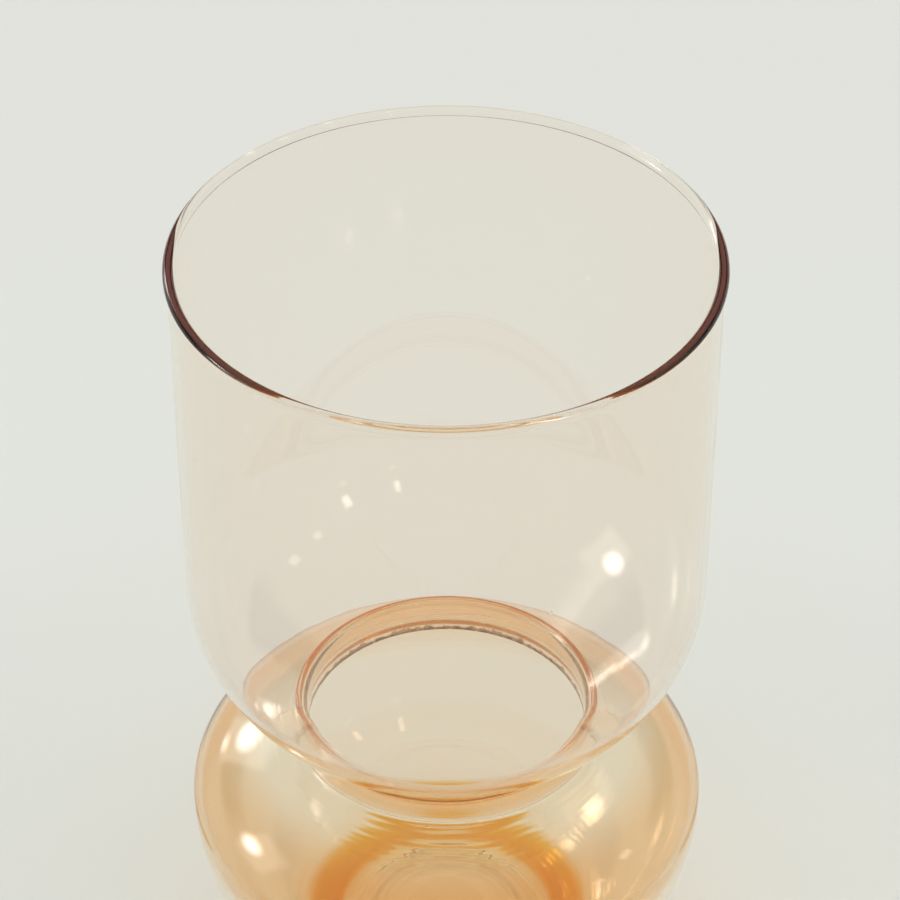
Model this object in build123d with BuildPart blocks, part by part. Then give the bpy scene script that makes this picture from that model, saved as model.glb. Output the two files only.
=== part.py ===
from build123d import *
import os
from math import cos, radians, sin, sqrt, tan

# Hyacinth forcing vase in blown glass: a bulb cup whose spigot nests in the neck of a round water reservoir.
# Millimetres, Z up, origin at the centre of the foot, on the table.

os.makedirs("parts", exist_ok=True)

# Water reservoir
reservoir_diameter = 87.0
girth_height = 35.8
shoulder_rise = 18.1
reservoir_wall = 1.3
foot_diameter = 42.0
foot_ring_width = 4.0
foot_ring_edge_radius = 1.5
heel_radius = 5.0
kick_up = 3.0
base_thickness = 3.0
base_corner_radius = 20.0

# Neck of the reservoir
mouth_rise = 5.0
mouth_wall = 1.2
mouth_edge_radius = 0.55
mouth_root_radius = 0.8
mouth_inside_radius = 2.0

# Bulb cup
rim_diameter = 86.0
rim_bead_proud = 0.225
rim_blend_radius = 1.2
straight_wall_height = 61.2
cup_wall = 1.05
cup_corner_radius = 28.0
funnel_slope = 43.0
funnel_thickness = 1.0

# Neck of the cup
neck_diameter = 47.0
neck_roll_radius = 1.6
spigot_wall = 1.0
spigot_root_radius = 0.6
spigot_reach = 5.3
ground_edge_radius = 0.2

# Fit of the cup in the reservoir
socket_clearance = 0.3
seat_gap = 0.25

# Radii of the nested necks, from the inside out
neck_radius = neck_diameter / 2
spigot_radius = neck_radius + spigot_wall
socket_radius = spigot_radius + socket_clearance
mouth_radius = socket_radius + mouth_wall

# The ball is an ellipse above its girth and a deeper one below, cut flat at the foot
body_radius = reservoir_diameter / 2
foot_radius = foot_diameter / 2
belly_depth = girth_height / sqrt(1 - (foot_radius / body_radius) ** 2)

# The base domes up over the foot's recess, inside and outside about the same centre
recess_radius = foot_radius - foot_ring_width
dome_radius = (recess_radius**2 + kick_up**2) / (2 * kick_up)
dome_centre = kick_up - dome_radius


def shoulder_height(radius, depth):
    """Height of the ball's upper half at a radius, on the surface that lies a depth inside the glass."""
    reach = radius / (body_radius - depth)
    return girth_height + (shoulder_rise - depth) * sqrt(1 - reach**2)


# The neck stands on the shoulder and ends in a round edge
mouth_foot = shoulder_height(mouth_radius, 0)
mouth_root = shoulder_height(mouth_radius, reservoir_wall / 2)
mouth_top = mouth_foot + mouth_rise
edge_radius = socket_radius + mouth_edge_radius
edge_height = mouth_top - mouth_edge_radius
spigot_foot = edge_height - spigot_reach

# The funnel is a cone that rests on the round edge of the neck
slope = radians(funnel_slope)
seat_radius = edge_radius - (mouth_edge_radius + seat_gap) * sin(slope)
seat_height = edge_height + (mouth_edge_radius + seat_gap) * cos(slope)


def funnel_height(radius, thickness):
    """Height of the funnel at a radius, a thickness of glass above its underside."""
    return seat_height + (radius - seat_radius) * tan(slope) + thickness / cos(slope)


# The cup's wall rises straight from the round corner to the bead of the rim
cup_radius = rim_diameter / 2 - rim_bead_proud
inside_radius = cup_radius - cup_wall
inside_corner_radius = cup_corner_radius - funnel_thickness
corner_height = funnel_height(cup_radius, 0) + cup_corner_radius * tan((radians(90) - slope) / 2)
bead_radius = cup_wall / 2 + rim_bead_proud
bead_height = corner_height + straight_wall_height - bead_radius


def ring_edge(glass, radius, height):
    """Edge of a glass body that runs round its axis nearest to a radius and height."""
    return glass.edges().sort_by_distance((-radius, 0, height))[0]


def half_ball(depth):
    """Right half of the ball's section, on the surface that lies a depth inside the glass."""
    with BuildSketch(Plane.XZ) as half:
        with BuildLine():
            EllipticalCenterArc((0, girth_height), body_radius - depth, shoulder_rise - depth, 0, arc_size=90)
            EllipticalCenterArc((0, girth_height), body_radius - depth, belly_depth - depth, 270, arc_size=90)
            Line((0, girth_height + shoulder_rise - depth), (0, girth_height - belly_depth + depth))
        make_face()
    return half.sketch_local


# Space for the water, over the domed base
with BuildSketch(Plane.XZ) as hollow:
    add(half_ball(reservoir_wall))
    with Locations((0, dome_centre)):
        Circle(dome_radius + base_thickness, mode=Mode.SUBTRACT)
base_corner = hollow.vertices().sort_by(Axis.Y)[0]

# Water reservoir: a ball with a flat shoulder, on a foot ring, with a short upright neck
with BuildPart() as water_reservoir:
    with BuildSketch(Plane.XZ) as ball:
        add(half_ball(0))
        add(hollow.sketch_local, mode=Mode.SUBTRACT)
        with Locations((0, dome_centre)):
            Circle(dome_radius, mode=Mode.SUBTRACT)
        split(bisect_by=Plane.ZX)
        with Locations((0, girth_height)):
            Rectangle(socket_radius, shoulder_rise, align=(Align.MIN, Align.MIN), mode=Mode.SUBTRACT)
        with Locations((socket_radius, mouth_root)):
            Rectangle(mouth_wall, mouth_top - mouth_root, align=(Align.MIN, Align.MIN))
    revolve(axis=Axis.Z)

    # Molten glass leaves every edge round
    fillet(ring_edge(water_reservoir, base_corner.X, base_corner.Y), base_corner_radius)
    fillet(ring_edge(water_reservoir, foot_radius, 0), heel_radius)
    fillet(ring_edge(water_reservoir, recess_radius, 0), foot_ring_edge_radius)
    fillet(ring_edge(water_reservoir, mouth_radius, mouth_foot), mouth_root_radius)
    fillet(
        ring_edge(water_reservoir, socket_radius, shoulder_height(socket_radius, reservoir_wall)),
        mouth_inside_radius,
    )
    fillet(ring_edge(water_reservoir, socket_radius, mouth_top), mouth_edge_radius)
    fillet(ring_edge(water_reservoir, mouth_radius, mouth_top), mouth_edge_radius)
water_reservoir.part.label = "water_reservoir"
export_step(water_reservoir.part, "parts/water_reservoir.step")

# Bulb cup: one wall of glass from the bead of the rim to the ground edge of the spigot
with BuildPart() as bulb_cup:
    with BuildSketch(Plane.XZ) as wall:
        with BuildLine():
            side = FilletPolyline(
                (cup_radius, bead_height),
                (cup_radius, funnel_height(cup_radius, 0)),
                (spigot_radius, funnel_height(spigot_radius, 0)),
                (spigot_radius, spigot_foot),
                (neck_radius, spigot_foot),
                (neck_radius, funnel_height(neck_radius, funnel_thickness)),
                (inside_radius, funnel_height(inside_radius, funnel_thickness)),
                (inside_radius, bead_height),
                radius=[
                    cup_corner_radius,
                    spigot_root_radius,
                    ground_edge_radius,
                    ground_edge_radius,
                    neck_roll_radius,
                    inside_corner_radius,
                ],
            )
            Line(side @ 1, side @ 0)
        make_face()
        with Locations((cup_radius - cup_wall / 2, bead_height)):
            Circle(bead_radius)
        fillet(wall.vertices().sort_by(Axis.Y)[-2:], rim_blend_radius)
    revolve(axis=Axis.Z)
bulb_cup.part.label = "bulb_cup"
export_step(bulb_cup.part, "parts/bulb_cup.step")
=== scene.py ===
"""Looks of a hyacinth forcing vase in two pieces of blown glass, built around its packed construction.

Lengths are metres in the frame of the construction: Z up, origin at the centre of the foot.
"""

import logging
import math
from dataclasses import dataclass
from enum import Enum

import bpy
import numpy as np
from mathutils import Euler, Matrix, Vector


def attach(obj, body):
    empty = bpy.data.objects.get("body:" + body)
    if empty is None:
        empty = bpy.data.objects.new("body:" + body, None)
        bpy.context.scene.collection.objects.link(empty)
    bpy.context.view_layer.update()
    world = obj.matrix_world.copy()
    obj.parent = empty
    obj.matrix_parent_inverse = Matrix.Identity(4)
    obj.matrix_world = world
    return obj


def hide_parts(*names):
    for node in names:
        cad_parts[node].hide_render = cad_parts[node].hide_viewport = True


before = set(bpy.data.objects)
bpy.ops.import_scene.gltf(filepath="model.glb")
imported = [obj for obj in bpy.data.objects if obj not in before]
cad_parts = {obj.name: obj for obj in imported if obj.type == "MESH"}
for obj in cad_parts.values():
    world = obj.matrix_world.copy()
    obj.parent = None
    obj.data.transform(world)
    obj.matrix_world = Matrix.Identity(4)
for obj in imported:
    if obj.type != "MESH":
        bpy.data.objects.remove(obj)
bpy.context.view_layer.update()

MM = 0.001
OUTLINE_STEP = 1.2 * MM
OUTLINE_TURN = math.radians(6.0)
CORNER_POINTS = 80
SAME_POINT = 1e-9
LAMP_MIDDLE = 0.5
LOG = logging.getLogger("vase")

Colour = tuple[float, float, float]
Point = tuple[float, float, float]
Span = tuple[float, float]
WHITE: Colour = (1.0, 1.0, 1.0)
Value = float | tuple[float, ...] | bpy.types.NodeSocket


class Spread(Enum):
    """How a grid of rings closes along its outline."""

    LOOP = "loop"
    POLES = "poles"


class LampShape(Enum):
    """How a lamp fades from its middle to its edge."""

    WINDOW = "window"
    ROUND = "round"


class Outline:
    """A cross-section in the plane of radius and height, made of curves joined by round corners."""

    def __init__(self, curves: list[np.ndarray], corners: list[float], closed: bool) -> None:
        """Keeps the curves and the corner radii.

        Args:
            curves: Dense points (radius, height) of each curve, each starting where the last one ends.
            corners: Radius of the round corner after each curve, in metres.
            closed: True if the last curve runs back to the first.
        """
        self.curves = curves
        self.corners = corners
        self.closed = closed

    @staticmethod
    def line(start: Span, end: Span, count: int = 200) -> np.ndarray:
        """A straight run: the start plus a growing share of the way to the end.

        Args:
            start: First point, as radius and height.
            end: Last point, as radius and height.
            count: Number of points.

        Returns:
            The points of the run.
        """
        share = np.linspace(0.0, 1.0, count)[:, None]
        return np.asarray(start) + share * (np.asarray(end) - np.asarray(start))

    @staticmethod
    def arc(centre: Span, half_axes: Span, start: float, end: float, count: int = 600) -> np.ndarray:
        """Part of an ellipse: its centre plus the half axes times cosine and sine of a turning angle.

        Args:
            centre: Centre, as radius and height.
            half_axes: Half axis along the radius and half axis along the height.
            start: First angle in radians, counted from the outward direction towards up.
            end: Last angle in radians.
            count: Number of points.

        Returns:
            The points of the arc.
        """
        angle = np.linspace(start, end, count)
        ring = np.stack([np.cos(angle), np.sin(angle)], axis=1)
        return np.asarray(centre) + ring * np.asarray(half_axes)

    @staticmethod
    def _lengths(points: np.ndarray) -> np.ndarray:
        """Running length along the points.

        Args:
            points: Points of a curve.

        Returns:
            The length from the first point to each of them.
        """
        return np.concatenate([[0.0], np.cumsum(np.linalg.norm(np.diff(points, axis=0), axis=1))])

    @staticmethod
    def _heading(start: np.ndarray, end: np.ndarray) -> np.ndarray:
        """Direction from one point to another.

        Args:
            start: First point.
            end: Second point.

        Returns:
            The step between them over its length.
        """
        return (end - start) / np.linalg.norm(end - start)

    @classmethod
    def _cut(cls, points: np.ndarray, head: float, tail: float) -> np.ndarray:
        """The points with a length taken off each end.

        Args:
            points: Points of a curve.
            head: Length cut off at the start.
            tail: Length cut off at the end.

        Returns:
            The same number of points on what is left.
        """
        run = cls._lengths(points)
        wanted = np.linspace(head, run[-1] - tail, len(points))
        return np.stack([np.interp(wanted, run, points[:, k]) for k in range(2)], axis=1)

    @staticmethod
    def _corner(
        start: np.ndarray, out: np.ndarray, end: np.ndarray, into: np.ndarray, reach: float
    ) -> np.ndarray:
        """A cubic curve between two points that leaves and arrives along given directions.

        Args:
            start: First point.
            out: Direction in which it leaves the first point.
            end: Last point.
            into: Direction in which it arrives at the last point.
            reach: Distance of the two inner control points from the ends.

        Returns:
            Points of the curve, without its ends.
        """
        t = np.linspace(0.0, 1.0, CORNER_POINTS + 2)[1:-1, None]
        a, b = start + reach * out, end - reach * into
        return (1 - t) ** 3 * start + 3 * (1 - t) ** 2 * t * a + 3 * (1 - t) * t**2 * b + t**3 * end

    def points(self) -> np.ndarray:
        """The whole outline, dense, with every corner rounded by a curve close to a circle's arc.

        A corner that turns by an angle takes radius times the tangent of half the angle off both curves.

        Returns:
            Points (radius, height) along the outline.
        """
        count = len(self.curves)
        joints = range(count) if self.closed else range(count - 1)
        head, tail = np.zeros(count), np.zeros(count)
        reach: dict[int, float] = {}
        for i in joints:
            last, first = self.curves[i], self.curves[(i + 1) % count]
            a, b = last[-1] - last[-2], first[1] - first[0]
            cosine = float(np.dot(a, b) / (np.linalg.norm(a) * np.linalg.norm(b)))
            turn = math.acos(max(-1.0, min(1.0, cosine)))
            tail[i] = head[(i + 1) % count] = self.corners[i] * math.tan(turn / 2)
            reach[i] = self.corners[i] * 4 / 3 * math.tan(turn / 4)
        cut = [self._cut(c, head[i], tail[i]) for i, c in enumerate(self.curves)]
        pieces: list[np.ndarray] = []
        for i, curve in enumerate(cut):
            pieces.append(curve)
            if i in reach:
                after = cut[(i + 1) % count]
                out, into = self._heading(curve[-2], curve[-1]), self._heading(after[0], after[1])
                pieces.append(self._corner(curve[-1], out, after[0], into, reach[i]))
        whole = np.concatenate(pieces)
        if self.closed:
            whole = np.concatenate([whole, whole[:1]])
        keep = np.concatenate([[True], np.linalg.norm(np.diff(whole, axis=0), axis=1) > SAME_POINT])
        return whole[keep]

    def sampled(self, step: float, turn: float) -> np.ndarray:
        """The outline with points at most a step apart and closer where it bends.

        The share of points grows with length over step plus bend over turn.

        Args:
            step: Distance between points on a straight run.
            turn: Bend between points in a corner, in radians.

        Returns:
            Points (radius, height); a closed outline doesn't repeat its first point.
        """
        dense = self.points()
        run = self._lengths(dense)
        heading = np.unwrap(np.arctan2(*np.diff(dense, axis=0).T[::-1]))
        bend = np.concatenate([[0.0], np.abs(np.diff(heading)), [0.0]])
        weight = run / step + np.cumsum(bend) / turn
        count = int(math.ceil(weight[-1]))
        wanted = np.linspace(0.0, weight[-1], count + 1)
        result = np.stack([np.interp(wanted, weight, dense[:, k]) for k in range(2)], axis=1)
        return result[:-1] if self.closed else result


class Turned:
    """A mesh made by carrying an outline round the vertical axis."""

    def __init__(self, outline: np.ndarray, sides: int, spread: Spread) -> None:
        """Lays out the grid of rings.

        Args:
            outline: Points (radius, height), with the glass on the left when walking along them.
            sides: Number of points in a ring.
            spread: Whether the outline is a loop or runs from pole to pole.
        """
        self.outline = outline
        self.sides = sides
        self.spread = spread
        self.angle = np.linspace(0.0, 2 * math.pi, sides, endpoint=False)

    def places(self) -> np.ndarray:
        """Points of the grid: radius times cosine and sine of the angle, and the height.

        Returns:
            Points (x, y, z), with one point for each pole.
        """
        radius, height = self.outline[:, :1], self.outline[:, 1:]
        x = radius * np.cos(self.angle)
        y = radius * np.sin(self.angle)
        grid = np.stack([x, y, np.broadcast_to(height, x.shape)], axis=2)
        if self.spread is Spread.LOOP:
            return grid.reshape(-1, 3)
        first, last = grid[0].mean(axis=0), grid[-1].mean(axis=0)
        return np.concatenate([grid[1:-1].reshape(-1, 3), [first], [last]])

    def faces(self) -> tuple[np.ndarray, np.ndarray]:
        """Four-sided faces between neighbouring rings, and three-sided ones at the poles.

        Returns:
            The quads and the triangles, as point numbers.
        """
        rings = len(self.outline) if self.spread is Spread.LOOP else len(self.outline) - 2
        number = np.arange(rings * self.sides).reshape(rings, self.sides)
        if self.spread is Spread.LOOP:
            upper, lower = number, np.roll(number, -1, axis=0)
        else:
            upper, lower = number[:-1], number[1:]
        quads = np.stack(
            [upper, np.roll(upper, -1, axis=1), np.roll(lower, -1, axis=1), lower], axis=2
        ).reshape(-1, 4)
        if self.spread is Spread.LOOP:
            return quads, np.zeros((0, 3), int)
        top, bottom = rings * self.sides, rings * self.sides + 1
        start, end = number[0], number[-1]
        fan_a = np.stack([np.full(self.sides, top), np.roll(start, -1), start], axis=1)
        fan_b = np.stack([np.full(self.sides, bottom), end, np.roll(end, -1)], axis=1)
        return quads, np.concatenate([fan_a, fan_b])

    def build(self, name: str) -> bpy.types.Object:
        """Makes the grid an object.

        Args:
            name: Name of the object.

        Returns:
            The object.
        """
        return make_object(name, self.places(), *self.faces())


def make_object(
    name: str, points: np.ndarray, quads: np.ndarray, triangles: np.ndarray
) -> bpy.types.Object:
    """Puts a grid of points and faces into a smooth mesh object.

    Args:
        name: Name of the object.
        points: Points (x, y, z).
        quads: Four point numbers a face.
        triangles: Three point numbers a face.

    Returns:
        The object, linked into the scene at the origin.
    """
    mesh = bpy.data.meshes.new(name)
    corners = np.concatenate([quads.ravel(), triangles.ravel()])
    sizes = np.concatenate([np.full(len(quads), 4), np.full(len(triangles), 3)])
    starts = np.concatenate([[0], np.cumsum(sizes)[:-1]])
    mesh.vertices.add(len(points))
    mesh.vertices.foreach_set("co", points.astype(np.float32).ravel())
    mesh.loops.add(len(corners))
    mesh.loops.foreach_set("vertex_index", corners.astype(np.int32))
    mesh.polygons.add(len(sizes))
    mesh.polygons.foreach_set("loop_start", starts.astype(np.int32))
    mesh.polygons.foreach_set("use_smooth", np.ones(len(sizes), bool))
    mesh.update(calc_edges=True)
    mesh.validate()
    piece = bpy.data.objects.new(name, mesh)
    bpy.context.scene.collection.objects.link(piece)
    return piece


class NodeSheet:
    """A node tree with short calls that add linked nodes."""

    def __init__(self, tree: bpy.types.NodeTree) -> None:
        """Keeps the tree.

        Args:
            tree: The tree of a material, a lamp or the world.
        """
        self.tree = tree

    def put(self, value: Value, socket: bpy.types.NodeSocket) -> None:
        """Links a socket to an input, or sets the input to a number or a vector.

        Args:
            value: What feeds the input.
            socket: The input.
        """
        if isinstance(value, bpy.types.NodeSocket):
            self.tree.links.new(value, socket)
        else:
            socket.default_value = value

    def math(self, operation: str, *values: Value) -> bpy.types.NodeSocket:
        """A sum, a product or another operation on numbers.

        Args:
            operation: Name of the operation.
            values: Its terms.

        Returns:
            The result.
        """
        node = self.tree.nodes.new("ShaderNodeMath")
        node.operation = operation
        for value, socket in zip(values, node.inputs):
            self.put(value, socket)
        return node.outputs[0]

    def product(self, *values: Value) -> bpy.types.NodeSocket:
        """The product of two or more numbers.

        Args:
            values: The factors.

        Returns:
            The product.
        """
        result = values[0]
        for value in values[1:]:
            result = self.math("MULTIPLY", result, value)
        return result

    def ramp(self, value: Value, start: float, end: float) -> bpy.types.NodeSocket:
        """A smooth step from 0 at the start to 1 at the end.

        Args:
            value: What is compared with the start and the end.
            start: Where the step is 0.
            end: Where it is 1.

        Returns:
            The step.
        """
        node = self.tree.nodes.new("ShaderNodeMapRange")
        node.interpolation_type = "SMOOTHSTEP"
        self.put(value, node.inputs["Value"])
        node.inputs["From Min"].default_value = start
        node.inputs["From Max"].default_value = end
        return node.outputs["Result"]

    def axes(self, point: bpy.types.NodeSocket) -> list[bpy.types.NodeSocket]:
        """The coordinates of a point.

        Args:
            point: The point.

        Returns:
            X, Y and Z.
        """
        node = self.tree.nodes.new("ShaderNodeSeparateXYZ")
        self.put(point, node.inputs[0])
        return list(node.outputs)

    def length(self, first: Value, second: Value) -> bpy.types.NodeSocket:
        """The long side of a right triangle: the root of the sum of the squares of its legs.

        Args:
            first: One leg.
            second: The other leg.

        Returns:
            The long side.
        """
        squares = [self.math("MULTIPLY", leg, leg) for leg in (first, second)]
        return self.math("SQRT", self.math("ADD", *squares))

    def place(self) -> tuple[bpy.types.NodeSocket, bpy.types.NodeSocket, bpy.types.NodeSocket]:
        """The point on the object, its distance from the axis and its height.

        Returns:
            The point, the radius and the height.
        """
        point = self.tree.nodes.new("ShaderNodeTexCoord").outputs["Object"]
        x, y, z = self.axes(point)
        return point, self.length(x, y), z

    def noise(self, point: Value, scale: float, detail: float = 2.0) -> bpy.types.NodeSocket:
        """Smooth noise from 0 to 1 about the point.

        Args:
            point: Where it is read.
            scale: Waves in a metre.
            detail: Number of finer layers.

        Returns:
            The noise.
        """
        node = self.tree.nodes.new("ShaderNodeTexNoise")
        self.put(point, node.inputs["Vector"])
        node.inputs["Scale"].default_value = scale
        node.inputs["Detail"].default_value = detail
        return node.outputs[0]

    def rings(self, run: Value, drift: Value, scale: float) -> bpy.types.NodeSocket:
        """Noise along one length, so that it makes rings, which wander by a drift.

        Args:
            run: Length across the rings, such as the radius.
            drift: Length added to it.
            scale: Waves in a metre.

        Returns:
            The noise.
        """
        node = self.tree.nodes.new("ShaderNodeTexNoise")
        node.noise_dimensions = "1D"
        self.put(self.math("ADD", run, drift), node.inputs["W"])
        node.inputs["Scale"].default_value = scale
        node.inputs["Detail"].default_value = 1.0
        return node.outputs[0]

    def seeds(self, point: Value, spacing: float, size: float) -> bpy.types.NodeSocket:
        """Small round dots, one in each cell of a scattered pattern.

        Args:
            point: Where it is read.
            spacing: Distance between dots.
            size: Radius of a dot.

        Returns:
            1 in the middle of a dot and 0 outside.
        """
        node = self.tree.nodes.new("ShaderNodeTexVoronoi")
        self.put(point, node.inputs["Vector"])
        node.inputs["Scale"].default_value = 1.0 / spacing
        return self.ramp(node.outputs["Distance"], size / spacing, 0.0)

    def blend(self, share: Value, first: Value, second: Colour) -> bpy.types.NodeSocket:
        """A colour between two others.

        Args:
            share: 0 for the first and 1 for the second.
            first: First colour.
            second: Second colour.

        Returns:
            The colour.
        """
        node = self.tree.nodes.new("ShaderNodeMix")
        node.data_type = "RGBA"
        self.put(share, node.inputs["Factor"])
        self.put(first if isinstance(first, bpy.types.NodeSocket) else (*first, 1.0), node.inputs["A"])
        node.inputs["B"].default_value = (*second, 1.0)
        return node.outputs["Result"]

    def layered(self, first: bpy.types.NodeSocket, second: bpy.types.NodeSocket) -> bpy.types.NodeSocket:
        """One tint seen through another: the product of two colours.

        Args:
            first: First tint.
            second: Second tint.

        Returns:
            The tint of both.
        """
        node = self.tree.nodes.new("ShaderNodeMix")
        node.data_type = "RGBA"
        node.blend_type = "MULTIPLY"
        node.inputs["Factor"].default_value = 1.0
        self.put(first, node.inputs["A"])
        self.put(second, node.inputs["B"])
        return node.outputs["Result"]

    def bump(
        self, height: Value, distance: float, under: bpy.types.NodeSocket | None
    ) -> bpy.types.NodeSocket:
        """A relief of the surface.

        Args:
            height: Height from 0 to 1.
            distance: Height of 1 in metres.
            under: A relief below it.

        Returns:
            The direction the surface faces.
        """
        node = self.tree.nodes.new("ShaderNodeBump")
        node.inputs["Strength"].default_value = 1.0
        node.inputs["Distance"].default_value = distance
        self.put(height, node.inputs["Height"])
        if under is not None:
            self.tree.links.new(under, node.inputs["Normal"])
        return node.outputs["Normal"]


@dataclass(frozen=True)
class Glass:
    """Clear coloured glass: refraction at a surface with fine relief, over a volume that absorbs light."""

    name: str
    absorbed: Colour
    density: float
    skin: Colour
    index: float = 1.5
    wave_length: float = 22.0 * MM
    wave_depth: float = 0.012 * MM
    seed_spacing: float = 17.0 * MM
    seed_size: float = 0.35 * MM
    seed_depth: float = 0.03 * MM
    ring_length: float = 2.2 * MM
    ring_depth: float = 0.03 * MM
    ring_start: float = 36.0 * MM
    ring_end: float = 27.0 * MM
    drift_scale: float = 60.0
    drift_reach: float = 3.0 * MM
    smear: float = 0.012
    smear_scale: float = 35.0
    smear_detail: float = 3.0
    smear_share: Span = (0.52, 0.75)

    def tint(self, sheet: NodeSheet) -> Value:
        """Colour that a wall's surfaces add to the volume's: the even skin.

        Args:
            sheet: The material's nodes.

        Returns:
            The tint.
        """
        return (*self.skin, 1.0)

    def gloss(self, sheet: NodeSheet) -> Value:
        """Roughness: faint smears where slow noise is high.

        Args:
            sheet: The material's nodes.

        Returns:
            The roughness.
        """
        point, _, _ = sheet.place()
        noise = sheet.noise(point, self.smear_scale, self.smear_detail)
        return sheet.math("MULTIPLY", sheet.ramp(noise, *self.smear_share), self.smear)

    def relief(self, sheet: NodeSheet) -> bpy.types.NodeSocket:
        """Slow waves of blown glass, small seeds, and fine tooling rings about the neck.

        Args:
            sheet: The material's nodes.

        Returns:
            The direction the surface faces.
        """
        point, radius, _ = sheet.place()
        waves = sheet.bump(sheet.noise(point, 1.0 / self.wave_length, 1.0), self.wave_depth, None)
        seeds = sheet.bump(sheet.seeds(point, self.seed_spacing, self.seed_size), self.seed_depth, waves)
        drift = sheet.math("MULTIPLY", sheet.noise(point, self.drift_scale, 1.0), self.drift_reach)
        rings = sheet.rings(radius, drift, 1.0 / self.ring_length)
        near = sheet.ramp(radius, self.ring_start, self.ring_end)
        return sheet.bump(sheet.product(rings, near), self.ring_depth, seeds)

    def material(self) -> bpy.types.Material:
        """Builds the node material.

        Returns:
            The finished material.
        """
        material = bpy.data.materials.new(self.name)
        material.use_nodes = True
        tree = material.node_tree
        sheet = NodeSheet(tree)
        shader = tree.nodes["Principled BSDF"]
        shader.inputs["IOR"].default_value = self.index
        shader.inputs["Transmission Weight"].default_value = 1.0
        sheet.put(self.tint(sheet), shader.inputs["Base Color"])
        sheet.put(self.gloss(sheet), shader.inputs["Roughness"])
        sheet.put(self.relief(sheet), shader.inputs["Normal"])
        volume = tree.nodes.new("ShaderNodeVolumeAbsorption")
        volume.inputs["Color"].default_value = (*self.absorbed, 1.0)
        volume.inputs["Density"].default_value = self.density
        tree.links.new(volume.outputs["Volume"], tree.nodes["Material Output"].inputs["Volume"])
        return material


@dataclass(frozen=True)
class PeachGlass(Glass):
    """The cup's pale glass, with a ground lower edge on its spigot."""

    ground_height: float = 49.461 * MM
    ground_width: float = 0.5 * MM
    ground_ragged: float = 2.4 * MM
    ground_scale: float = 800.0
    ground_detail: float = 3.0
    ground_colour: Colour = (0.26, 0.17, 0.10)
    ground_roughness: float = 0.45
    ground_fade: Span = (-12.0 * MM, 6.0 * MM)

    def ground(self, sheet: NodeSheet) -> bpy.types.NodeSocket:
        """The ground edge: the lowest part of the spigot, up to a ragged line, fading out towards the front.

        Args:
            sheet: The material's nodes.

        Returns:
            1 on the edge and 0 above it.
        """
        point, _, height = sheet.place()
        noise = sheet.noise(point, self.ground_scale, self.ground_detail)
        swing = sheet.math("SUBTRACT", noise, 0.5)
        line = sheet.math("SUBTRACT", height, sheet.math("MULTIPLY", swing, self.ground_ragged))
        middle = self.ground_height + self.ground_width
        edge = sheet.ramp(line, middle + self.ground_width / 2, middle - self.ground_width / 2)
        back = sheet.axes(point)[1]
        return sheet.product(edge, sheet.ramp(back, *self.ground_fade))

    def tint(self, sheet: NodeSheet) -> Value:
        """The even skin, and brown on the ground edge.

        Args:
            sheet: The material's nodes.

        Returns:
            The tint.
        """
        return sheet.blend(self.ground(sheet), self.skin, self.ground_colour)

    def gloss(self, sheet: NodeSheet) -> Value:
        """Smears, and the rough ground edge.

        Args:
            sheet: The material's nodes.

        Returns:
            The roughness.
        """
        rough = sheet.math("MULTIPLY", self.ground(sheet), self.ground_roughness)
        return sheet.math("ADD", super().gloss(sheet), rough)


@dataclass(frozen=True)
class AmberGlass(Glass):
    """The reservoir's glass, tinted deeper amber on the neck, towards the girth and at the heel."""

    girth_tint: Colour = (0.98, 0.74, 0.50)
    girth_start: float = 30.0 * MM
    girth_end: float = 39.0 * MM
    girth_low: float = 28.0 * MM
    girth_high: float = 36.0 * MM
    neck_tint: Colour = (1.0, 0.85, 0.68)
    neck_foot: Span = (50.5 * MM, 53.0 * MM)
    base_tint: Colour = (1.0, 0.955, 0.885)
    heel_tint: Colour = (0.96, 0.64, 0.08)
    heel_inner: Span = (18.3 * MM, 19.5 * MM)
    heel_outer: Span = (26.0 * MM, 23.5 * MM)
    heel_top: Span = (9.0 * MM, 6.5 * MM)
    mark_tint: Colour = (0.84, 0.74, 0.64)
    mark_radius: float = 12.8 * MM
    mark_width: float = 0.9 * MM
    mark_middle: Span = (6.9 * MM, 6.1 * MM)
    mark_share: float = 0.4
    mark_top: Span = (3.3 * MM, 3.05 * MM)

    def tint(self, sheet: NodeSheet) -> Value:
        """The even skin under layers of deeper amber, and faint marks below the base.

        The layers lie on the outer shoulder, the neck, the heel and the base.

        Args:
            sheet: The material's nodes.

        Returns:
            The tint.
        """
        _, radius, height = sheet.place()
        girth = sheet.product(
            sheet.ramp(radius, self.girth_start, self.girth_end),
            sheet.ramp(height, self.girth_low, self.girth_high),
        )
        low = sheet.ramp(height, *self.heel_top)
        ring = sheet.ramp(radius, *self.heel_inner)
        heel = sheet.product(ring, sheet.ramp(radius, *self.heel_outer), low)
        base = sheet.product(sheet.math("SUBTRACT", 1.0, ring), low)
        across = sheet.math("ABSOLUTE", sheet.math("SUBTRACT", radius, self.mark_radius))
        middle = sheet.math("MULTIPLY", sheet.ramp(radius, *self.mark_middle), self.mark_share)
        marks = sheet.math("MAXIMUM", sheet.ramp(across, self.mark_width, 0.0), middle)
        mark = sheet.product(marks, sheet.ramp(height, *self.mark_top))
        neck = sheet.ramp(height, *self.neck_foot)
        tint = sheet.blend(girth, self.skin, self.girth_tint)
        layers = (
            (neck, self.neck_tint),
            (heel, self.heel_tint),
            (base, self.base_tint),
            (mark, self.mark_tint),
        )
        for share, colour in layers:
            tint = sheet.layered(tint, sheet.blend(share, WHITE, colour))
        return tint


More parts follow.
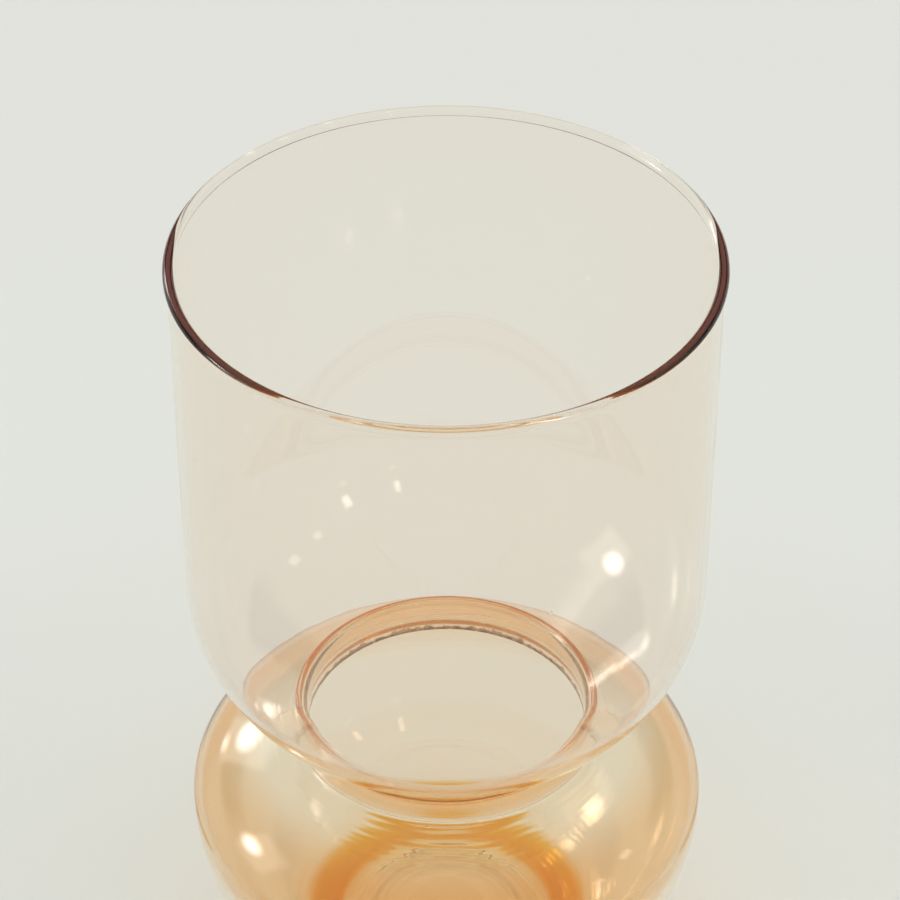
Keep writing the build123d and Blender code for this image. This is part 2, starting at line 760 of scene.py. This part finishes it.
@dataclass
class BulbCup:
    """The pale upper cup, one wall of glass from the bead of the rim to the ground edge of the spigot."""

    rim_radius: float = 43.12 * MM
    rim_height: float = 145.479 * MM
    bead_outside: float = 0.57 * MM
    bead_inside: float = 0.15 * MM
    bead_root: float = 0.35 * MM
    bead_flow: float = 0.8 * MM
    wall: float = 1.05 * MM
    corner_radius: float = 28.0 * MM
    seat_radius: float = 24.804 * MM
    seat_height: float = 55.346 * MM
    funnel_slope: float = math.radians(43.0)
    funnel_thickness: float = 1.0 * MM
    neck_radius: float = 23.5 * MM
    neck_roll: float = 1.6 * MM
    spigot_wall: float = 1.0 * MM
    spigot_root: float = 0.6 * MM
    spigot_foot: float = 49.461 * MM
    ground_edge: float = 0.2 * MM
    sides: int = 336

    def funnel_height(self, radius: float, thickness: float) -> float:
        """Height of the funnel at a radius, a thickness of glass above its underside.

        Args:
            radius: Distance from the axis.
            thickness: Depth of glass below the point.

        Returns:
            The height.
        """
        rise = (radius - self.seat_radius) * math.tan(self.funnel_slope)
        return self.seat_height + rise + thickness / math.cos(self.funnel_slope)

    def outline(self) -> Outline:
        """The closed section of the wall: down the outside, round the spigot, up the inside, over the bead.

        Returns:
            The section.
        """
        outer = self.rim_radius - self.bead_outside
        inner = outer - self.wall
        bead = (self.bead_outside + self.wall + self.bead_inside) / 2
        middle = (self.rim_radius - bead, self.rim_height - bead)
        out_turn = math.acos((outer - middle[0]) / bead)
        in_turn = math.acos((middle[0] - inner) / bead)
        spigot = self.neck_radius + self.spigot_wall
        stops = [
            (outer, middle[1] - bead * math.sin(out_turn)),
            (outer, self.funnel_height(outer, 0.0)),
            (spigot, self.funnel_height(spigot, 0.0)),
            (spigot, self.spigot_foot),
            (self.neck_radius, self.spigot_foot),
            (self.neck_radius, self.funnel_height(self.neck_radius, self.funnel_thickness)),
            (inner, self.funnel_height(inner, self.funnel_thickness)),
            (inner, middle[1] - bead * math.sin(in_turn)),
        ]
        curves = [Outline.line(a, b) for a, b in zip(stops[:-1], stops[1:])]
        corners = [
            self.corner_radius,
            self.spigot_root,
            self.ground_edge,
            self.ground_edge,
            self.neck_roll,
            self.corner_radius - self.funnel_thickness,
            self.bead_flow,
            self.bead_root,
        ]
        curves.append(Outline.arc(middle, (bead, bead), math.pi + in_turn, -out_turn))
        return Outline(curves, corners, closed=True)

    def build(self) -> bpy.types.Object:
        """Turns the section round the axis.

        Returns:
            The cup's object.
        """
        section = self.outline().sampled(OUTLINE_STEP, OUTLINE_TURN)[::-1]
        return Turned(section, self.sides, Spread.LOOP).build("cup_glass")

    def dress(self, piece: bpy.types.Object, glass: Glass) -> None:
        """Gives the cup its glass and ties it to its body.

        Args:
            piece: The cup's object.
            glass: Its finish.
        """
        piece.data.materials.append(glass.material())
        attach(piece, "cup")
        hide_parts("bulb_cup")


@dataclass
class WaterReservoir:
    """The amber lower ball: a deep belly on a foot ring, a flat shoulder and a short upright neck."""

    body_radius: float = 43.5 * MM
    girth_height: float = 35.8 * MM
    shoulder_rise: float = 18.1 * MM
    wall: float = 1.3 * MM
    foot_radius: float = 21.0 * MM
    recess_radius: float = 17.0 * MM
    recess_edge: float = 1.5 * MM
    heel: float = 5.0 * MM
    kick_up: float = 3.0 * MM
    base_thickness: float = 3.0 * MM
    base_corner: float = 20.0 * MM
    socket_radius: float = 24.8 * MM
    mouth_rise: float = 5.0 * MM
    mouth_wall: float = 1.2 * MM
    mouth_edge: float = 0.55 * MM
    mouth_root: float = 0.8 * MM
    mouth_inside: float = 2.0 * MM
    sides: int = 340
    arc_points: int = 2000
    search_points: int = 4000
    search_end: float = -0.3

    def outline(self) -> Outline:
        """The section of the wall, from the middle of the foot's recess to the middle of the base inside.

        The ball is half an ellipse above its girth and half of a deeper one below, cut flat at the foot.

        Returns:
            The section.
        """
        centre = (0.0, self.girth_height)
        belly = self.girth_height / math.sqrt(1 - (self.foot_radius / self.body_radius) ** 2)
        inside = self.body_radius - self.wall
        dome = (self.recess_radius**2 + self.kick_up**2) / (2 * self.kick_up)
        dome_centre = (0.0, self.kick_up - dome)
        top_dome = dome + self.base_thickness
        mouth_radius = self.socket_radius + self.mouth_wall
        root_angle = math.acos(mouth_radius / self.body_radius)
        root = self.girth_height + self.shoulder_rise * math.sin(root_angle)
        top = root + self.mouth_rise
        inlet_angle = math.acos(self.socket_radius / inside)
        inlet = self.girth_height + (self.shoulder_rise - self.wall) * math.sin(inlet_angle)

        # Where the belly's inside comes up out of the domed base
        belly_angle = np.linspace(-math.pi / 2, self.search_end, self.search_points)
        in_r = inside * np.cos(belly_angle)
        in_z = self.girth_height + (belly - self.wall) * np.sin(belly_angle)
        over = in_z - (dome_centre[1] + np.sqrt(np.maximum(top_dome**2 - in_r**2, 0.0)))
        cross = int(np.argmax(over > 0))
        base_angle = float(belly_angle[cross])
        dome_angle = math.acos(in_r[cross] / top_dome)
        foot_angle = -math.acos(self.foot_radius / self.body_radius)

        curves = [
            Outline.arc(dome_centre, (dome, dome), math.pi / 2, math.acos(self.recess_radius / dome)),
            Outline.line((self.recess_radius, 0.0), (self.foot_radius, 0.0)),
            Outline.arc(centre, (self.body_radius, belly), foot_angle, 0.0, self.arc_points),
            Outline.arc(centre, (self.body_radius, self.shoulder_rise), 0.0, root_angle, self.arc_points),
            Outline.line((mouth_radius, root), (mouth_radius, top)),
            Outline.line((mouth_radius, top), (self.socket_radius, top)),
            Outline.line((self.socket_radius, top), (self.socket_radius, inlet)),
            Outline.arc(centre, (inside, self.shoulder_rise - self.wall), inlet_angle, 0.0, self.arc_points),
            Outline.arc(centre, (inside, belly - self.wall), 0.0, base_angle, self.arc_points),
            Outline.arc(dome_centre, (top_dome, top_dome), dome_angle, math.pi / 2),
        ]
        corners = [
            self.recess_edge,
            self.heel,
            0.0,
            self.mouth_root,
            self.mouth_edge,
            self.mouth_edge,
            self.mouth_inside,
            0.0,
            self.base_corner,
        ]
        return Outline(curves, corners, closed=False)

    def build(self) -> bpy.types.Object:
        """Turns the section round the axis.

        Returns:
            The reservoir's object.
        """
        section = self.outline().sampled(OUTLINE_STEP, OUTLINE_TURN)
        return Turned(section, self.sides, Spread.POLES).build("reservoir_glass")

    def dress(self, piece: bpy.types.Object, glass: Glass) -> None:
        """Gives the reservoir its glass and ties it to its body.

        Args:
            piece: The reservoir's object.
            glass: Its finish.
        """
        piece.data.materials.append(glass.material())
        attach(piece, "reservoir")
        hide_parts("water_reservoir")


@dataclass(frozen=True)
class Lamp:
    """An area lamp that faces the vase.

    Azimuth and elevation are degrees, with azimuth 0 behind the vase and 90 to its right.
    Spread is its width and height in degrees, as seen from the vase.
    Glow is its radiance in the middle, where 1 is as bright as white paper in the room's light.
    """

    name: str
    azimuth: float
    elevation: float
    spread: Span
    glow: float
    shape: LampShape


@dataclass
class Studio:
    """The pale table, the soft lamps and the camera."""

    # Table colours are painted light: lightest just behind the vase and darker towards the camera, standing
    # in for the room's light falling off
    pale: Colour = (0.750, 0.763, 0.712)
    middle: Colour = (0.757, 0.780, 0.727)
    near: Colour = (0.715, 0.733, 0.688)
    middle_reach: Span = (0.0, 0.13)
    far_reach: Span = (0.14, 0.30)
    floor_half: float = 4.0
    foot_gap: float = 0.1 * MM
    lamp_distance: float = 1.5
    lamp_target: float = 0.06
    lamp_fade: float = 0.2
    fill_light: float = 1.0
    wall: Colour = (0.06, 0.06, 0.065)
    wall_low: Span = (8.0, 13.0)
    wall_high: Span = (29.0, 23.0)
    wall_front: Span = (0.1, 0.4)
    focal_pixels: float = 3303.3
    image_pixels: float = 900.0
    camera_place: Point = (0.61 * MM, -411.99 * MM, 434.12 * MM)
    camera_dip: float = math.radians(38.374)
    camera_sensor: float = 36.0
    camera_clip: Span = (0.01, 50.0)
    glass_bounces: int = 128
    diffuse_bounces: int = 4
    lamps: tuple[Lamp, ...] = (
        Lamp("left_window", -91.0, 22.0, (22.0, 36.0), 1.2, LampShape.WINDOW),
        Lamp("left_window_glow", -86.0, 21.0, (15.0, 18.0), 14.0, LampShape.ROUND),
        Lamp("back_window", -44.0, 21.0, (17.0, 33.0), 1.2, LampShape.WINDOW),
        Lamp("back_window_glow", -42.0, 21.0, (13.0, 16.0), 11.0, LampShape.ROUND),
        Lamp("back_window_sill", -45.0, 7.5, (9.0, 6.0), 5.0, LampShape.ROUND),
        Lamp("right_window", 92.0, 28.0, (6.0, 7.0), 2.0, LampShape.WINDOW),
        Lamp("right_far_window", 110.0, 28.0, (5.0, 6.0), 2.0, LampShape.WINDOW),
        Lamp("front_window", 132.0, 19.0, (4.0, 10.0), 4.0, LampShape.WINDOW),
        Lamp("front_far_window", 157.0, 20.0, (3.0, 10.0), 3.0, LampShape.WINDOW),
    )

    def lay_floor(self) -> bpy.types.Object:
        """A flat pale table much larger than the view.

        Returns:
            The floor's object.
        """
        s = self.floor_half
        z = -self.foot_gap
        points = np.array([(-s, -s, z), (s, -s, z), (s, s, z), (-s, s, z)])
        floor = make_object("table", points, np.array([[0, 1, 2, 3]]), np.zeros((0, 3), int))
        material = bpy.data.materials.new("pale_table")
        material.use_nodes = True
        tree = material.node_tree
        tree.nodes.clear()
        sheet = NodeSheet(tree)
        back = sheet.axes(tree.nodes.new("ShaderNodeTexCoord").outputs["Object"])[1]
        # Painted light: darker near the camera, lightest just behind the vase, then the even pale further
        # back
        colour = sheet.blend(sheet.ramp(back, *self.middle_reach), self.near, self.middle)
        colour = sheet.blend(sheet.ramp(back, *self.far_reach), colour, self.pale)
        matt = tree.nodes.new("ShaderNodeBsdfDiffuse")
        output = tree.nodes.new("ShaderNodeOutputMaterial")
        sheet.put(colour, matt.inputs["Color"])
        sheet.put(matt.outputs[0], output.inputs["Surface"])
        floor.data.materials.append(material)
        return floor

    def light_room(self) -> None:
        """A room that lights evenly, and that the camera and the glass see pale, with a dark wall behind."""
        world = bpy.data.worlds.new("pale_room")
        world.use_nodes = True
        tree = world.node_tree
        tree.nodes.clear()
        sheet = NodeSheet(tree)
        _, back, up = sheet.axes(tree.nodes.new("ShaderNodeTexCoord").outputs["Generated"])
        edges = (self.wall_low, self.wall_high)
        steps = [[math.sin(math.radians(angle)) for angle in edge] for edge in edges]
        behind = sheet.ramp(back, *self.wall_front)
        band = sheet.product(behind, *(sheet.ramp(up, *step) for step in steps))
        shown = tree.nodes.new("ShaderNodeBackground")
        sheet.put(sheet.blend(band, self.pale, self.wall), shown.inputs["Color"])
        lit = tree.nodes.new("ShaderNodeBackground")
        lit.inputs["Color"].default_value = (*WHITE, 1.0)
        lit.inputs["Strength"].default_value = self.fill_light

        # The shown room is for rays that haven't met the table yet
        path = tree.nodes.new("ShaderNodeLightPath")
        seen = sheet.math("MAXIMUM", path.outputs["Is Camera Ray"], path.outputs["Is Glossy Ray"])
        through = sheet.math("MAXIMUM", seen, path.outputs["Is Transmission Ray"])
        bare = sheet.math("LESS_THAN", path.outputs["Diffuse Depth"], 0.5)
        mix = tree.nodes.new("ShaderNodeMixShader")
        output = tree.nodes.new("ShaderNodeOutputWorld")
        sheet.put(sheet.product(through, bare), mix.inputs[0])
        sheet.put(lit.outputs[0], mix.inputs[1])
        sheet.put(shown.outputs[0], mix.inputs[2])
        sheet.put(mix.outputs[0], output.inputs["Surface"])
        bpy.context.scene.world = world

    def hang_lamp(self, lamp: Lamp) -> None:
        """Hangs a lamp that is seen only as a reflection in the glass.

        Its power is its radiance times pi times its area.
        It is brightest in the middle and fades out at its edge.

        Args:
            lamp: The lamp.
        """
        az, el = math.radians(lamp.azimuth), math.radians(lamp.elevation)
        way = Vector((math.cos(el) * math.sin(az), math.cos(el) * math.cos(az), math.sin(el)))
        halves = (math.tan(math.radians(angle) / 2) for angle in lamp.spread)
        width, height = (2 * self.lamp_distance * half for half in halves)
        data = bpy.data.lights.new(lamp.name, "AREA")
        data.shape = "RECTANGLE"
        data.size, data.size_y = width, height
        data.energy = lamp.glow * math.pi * width * height
        data.use_nodes = True
        sheet = NodeSheet(data.node_tree)
        across = sheet.axes(data.node_tree.nodes.new("ShaderNodeNewGeometry").outputs["Parametric"])[:2]
        offs = [sheet.math("ABSOLUTE", sheet.math("SUBTRACT", run, LAMP_MIDDLE)) for run in across]
        if lamp.shape is LampShape.WINDOW:
            full = LAMP_MIDDLE - self.lamp_fade
            fade = sheet.product(*(sheet.ramp(off, LAMP_MIDDLE, full) for off in offs))
        else:
            fade = sheet.ramp(sheet.length(*offs), LAMP_MIDDLE, 0.0)
        sheet.put(fade, data.node_tree.nodes["Emission"].inputs["Strength"])
        hung = bpy.data.objects.new(lamp.name, data)
        hung.location = Vector((0.0, 0.0, self.lamp_target)) + self.lamp_distance * way
        hung.rotation_euler = way.to_track_quat("Z", "Y").to_euler()
        hung.visible_camera = False
        hung.visible_diffuse = False
        bpy.context.scene.collection.objects.link(hung)

    def hang_lamps(self) -> None:
        """Soft windows to the left and behind, and small far ones to the right and in front."""
        for lamp in self.lamps:
            self.hang_lamp(lamp)

    def place_camera(self) -> None:
        """The camera of the photograph's view, with its focal length in pixels of the square image."""
        data = bpy.data.cameras.new("camera")
        data.sensor_fit = "HORIZONTAL"
        data.sensor_width = self.camera_sensor
        data.lens = self.focal_pixels / self.image_pixels * data.sensor_width
        data.clip_start, data.clip_end = self.camera_clip
        camera = bpy.data.objects.new("camera", data)
        camera.location = self.camera_place
        camera.rotation_euler = Euler((math.pi / 2 - self.camera_dip, 0.0, 0.0))
        bpy.context.scene.collection.objects.link(camera)
        bpy.context.scene.camera = camera

    def set_light_paths(self) -> None:
        """Lets light pass the many faces of the nested glass."""
        scene = bpy.context.scene
        scene.view_settings.view_transform = "Standard"
        scene.cycles.max_bounces = self.glass_bounces
        scene.cycles.transmission_bounces = self.glass_bounces
        scene.cycles.glossy_bounces = self.glass_bounces
        scene.cycles.diffuse_bounces = self.diffuse_bounces
        scene.cycles.blur_glossy = 0.0


def main() -> None:
    """Builds the two pieces of glass and the studio around them."""
    logging.basicConfig(level=logging.INFO, format="%(message)s")
    peach = PeachGlass(
        "peach_glass",
        absorbed=(0.80, 0.55, 0.06),
        density=34.0,
        skin=(1.0, 0.960, 0.930),
        ring_depth=0.012 * MM,
    )
    amber = AmberGlass(
        "amber_glass",
        absorbed=(0.90, 0.64, 0.032),
        density=22.0,
        skin=(1.0, 0.950, 0.860),
        ring_depth=0.06 * MM,
        ring_length=1.6 * MM,
    )
    cup = BulbCup()
    piece = cup.build()
    cup.dress(piece, peach)
    LOG.info("cup_glass: %d faces", len(piece.data.polygons))
    reservoir = WaterReservoir()
    piece = reservoir.build()
    reservoir.dress(piece, amber)
    LOG.info("reservoir_glass: %d faces", len(piece.data.polygons))
    studio = Studio()
    studio.lay_floor()
    studio.light_room()
    studio.hang_lamps()
    studio.place_camera()
    studio.set_light_paths()


if __name__ == "__main__":
    main()
